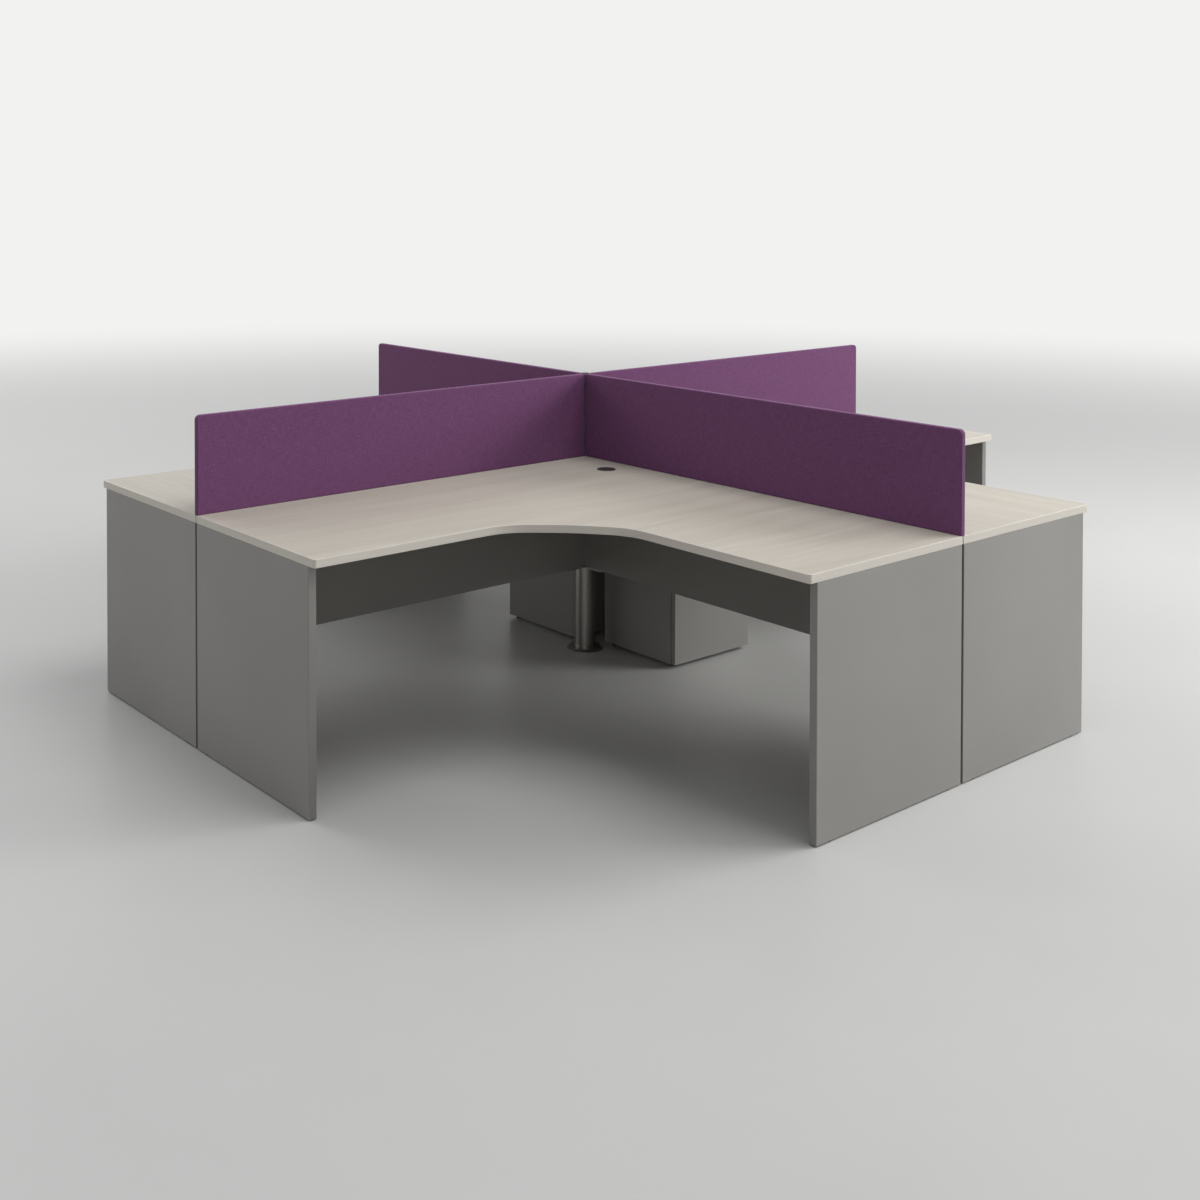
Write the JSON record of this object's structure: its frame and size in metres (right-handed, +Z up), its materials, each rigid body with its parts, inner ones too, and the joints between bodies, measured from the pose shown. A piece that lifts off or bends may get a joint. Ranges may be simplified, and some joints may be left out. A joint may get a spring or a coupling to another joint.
{
  "type": "four-person workstation",
  "caption": "Cross-shaped cluster of crescent desks on panel ends and a middle leg, with fabric screens along the middle lines and drawer pedestals beneath.",
  "frame": {"origin": "on the floor below the crossing of the two middle lines, at the centre of the middle leg's foot", "axes": "+Z up; the wings and screens run along X and Y; the desk nearest the camera lies where X and Y are negative"},
  "size_m": [3.3, 3.3, 1.058],
  "materials": {
    "worktop_board": "pale wood-pattern melamine, matt",
    "worktop_edge_band": "ABS edge band, satin",
    "panel_board": "grey melamine, matt",
    "panel_edge_band": "grey ABS edge band, satin",
    "screen_fabric": "woven purple upholstery cloth",
    "joiner_aluminium": "anodised satin",
    "black_plastic": "moulded, fine grain",
    "zinc_steel": "zinc plated",
    "leg_chrome": "chrome plated, satin",
    "drawer_lining": "light grey lining board",
    "lock_metal": "polished nickel"
  },
  "bodies": {
    "root": {"desk_a_top": "worktop_board", "desk_b_top": "worktop_board", "desk_c_top": "worktop_board", "desk_d_top": "worktop_board", "worktop_edging": "worktop_edge_band", "desk_a_end_panel_left": "panel_board", "desk_a_end_panel_right": "panel_board", "desk_b_end_panel_left": "panel_board", "desk_b_end_panel_right": "panel_board", "desk_c_end_panel_left": "panel_board", "desk_c_end_panel_right": "panel_board", "desk_d_end_panel_left": "panel_board", "desk_d_end_panel_right": "panel_board", "desk_a_modesty_panels": "panel_board", "desk_b_modesty_panels": "panel_board", "desk_c_modesty_panels": "panel_board", "desk_d_modesty_panels": "panel_board", "pedestal_b_carcass": "panel_board", "pedestal_b_back": "panel_board", "pedestal_c_carcass": "panel_board", "pedestal_c_back": "panel_board", "end_panel_edging": "panel_edge_band", "screen_ab": "screen_fabric", "screen_bc": "screen_fabric", "screen_cd": "screen_fabric", "screen_da": "screen_fabric", "screen_joiner": "joiner_aluminium", "screen_joiner_cap": "black_plastic", "grommet_sleeves": "black_plastic", "levelling_glides": "black_plastic", "screen_bracket_plates": "zinc_steel", "joining_bolts": "zinc_steel", "tie_bolt": "zinc_steel", "angle_brackets": "zinc_steel", "wood_screws": "zinc_steel", "pedestal_b_runners": "zinc_steel", "pedestal_c_runners": "zinc_steel", "middle_leg_tube": "leg_chrome", "middle_leg_head": "leg_chrome", "middle_leg_foot": "leg_chrome"},
    "drawer_b_top": {"pedestal_b_front_top": "panel_board", "pedestal_b_box_top": "drawer_lining"},
    "drawer_b_middle": {"pedestal_b_front_middle": "panel_board", "pedestal_b_box_middle": "drawer_lining"},
    "drawer_b_file": {"pedestal_b_front_file": "panel_board", "pedestal_b_box_file": "drawer_lining"},
    "drawer_c_top": {"pedestal_c_front_top": "panel_board", "pedestal_c_box_top": "drawer_lining"},
    "drawer_c_middle": {"pedestal_c_front_middle": "panel_board", "pedestal_c_box_middle": "drawer_lining"},
    "drawer_c_file": {"pedestal_c_front_file": "panel_board", "pedestal_c_box_file": "drawer_lining"},
    "lock_b": {"pedestal_b_lock": "lock_metal"},
    "lock_c": {"pedestal_c_lock": "lock_metal"},
    "cap_a": {"grommet_cap_a": "black_plastic"},
    "cap_b": {"grommet_cap_b": "black_plastic"},
    "cap_c": {"grommet_cap_c": "black_plastic"},
    "cap_d": {"grommet_cap_d": "black_plastic"}
  },
  "joints": [
    {"name": "drawer_b_top_slide", "type": "slide", "parent": "root", "child": "drawer_b_top", "axis": [0, -1, 0], "range_m": [0, 0.25]},
    {"name": "drawer_b_middle_slide", "type": "slide", "parent": "root", "child": "drawer_b_middle", "axis": [0, -1, 0], "range_m": [0, 0.25]},
    {"name": "drawer_b_file_slide", "type": "slide", "parent": "root", "child": "drawer_b_file", "axis": [0, -1, 0], "range_m": [0, 0.25]},
    {"name": "lock_b_turn", "type": "hinge", "parent": "drawer_b_top", "child": "lock_b", "pos_m": [0.422, -0.38, 0.544], "axis": [0, 1, 0], "range_deg": [0, 90]},
    {"name": "drawer_c_top_slide", "type": "slide", "parent": "root", "child": "drawer_c_top", "axis": [1, 0, 0], "range_m": [0, 0.25]},
    {"name": "drawer_c_middle_slide", "type": "slide", "parent": "root", "child": "drawer_c_middle", "axis": [1, 0, 0], "range_m": [0, 0.25]},
    {"name": "drawer_c_file_slide", "type": "slide", "parent": "root", "child": "drawer_c_file", "axis": [1, 0, 0], "range_m": [0, 0.25]},
    {"name": "lock_c_turn", "type": "hinge", "parent": "drawer_c_top", "child": "lock_c", "pos_m": [0.38, 0.422, 0.544], "axis": [-1, 0, 0], "range_deg": [0, 90]},
    {"name": "cap_a_turn", "type": "hinge", "parent": "root", "child": "cap_a", "pos_m": [-0.128, -0.254, 0.74], "axis": [0, 0, 1], "continuous": true},
    {"name": "cap_b_turn", "type": "hinge", "parent": "root", "child": "cap_b", "pos_m": [0.254, -0.128, 0.74], "axis": [0, 0, 1], "continuous": true},
    {"name": "cap_c_turn", "type": "hinge", "parent": "root", "child": "cap_c", "pos_m": [0.128, 0.254, 0.74], "axis": [0, 0, 1], "continuous": true},
    {"name": "cap_d_turn", "type": "hinge", "parent": "root", "child": "cap_d", "pos_m": [-0.254, 0.128, 0.74], "axis": [0, 0, 1], "continuous": true}
  ]
}
